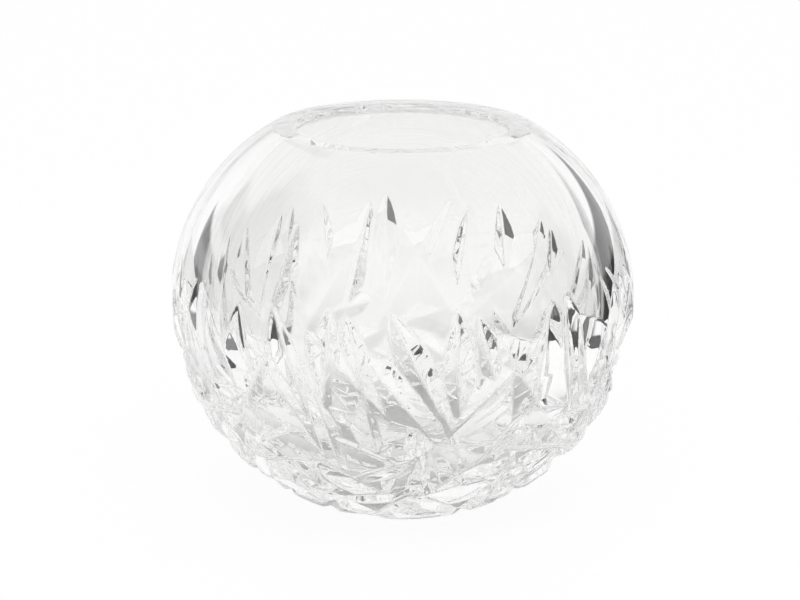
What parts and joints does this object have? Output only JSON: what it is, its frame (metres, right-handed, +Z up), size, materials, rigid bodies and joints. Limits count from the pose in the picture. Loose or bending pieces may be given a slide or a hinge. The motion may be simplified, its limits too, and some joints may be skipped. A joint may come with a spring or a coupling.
{
  "type": "rose bowl vase",
  "caption": "Squat round rose bowl vase of clear cut crystal: smooth shoulder, wide mouth with a polished rim, and an irregular ice-cut lower bowl, to hold flowers and water.",
  "frame": {"origin": "centre of the flat resting face under the base", "axes": "+Z up through the mouth; X and Y level, with -Y towards the viewer of the picture"},
  "size_m": [0.1519, 0.152, 0.1255],
  "materials": {
    "clear_crystal": "polished"
  },
  "bodies": {
    "root": {"polished_rim": "clear_crystal", "clear_shoulder": "clear_crystal", "blade_cut_band": "clear_crystal", "ice_cut_bowl": "clear_crystal", "thick_base": "clear_crystal"}
  },
  "joints": []
}
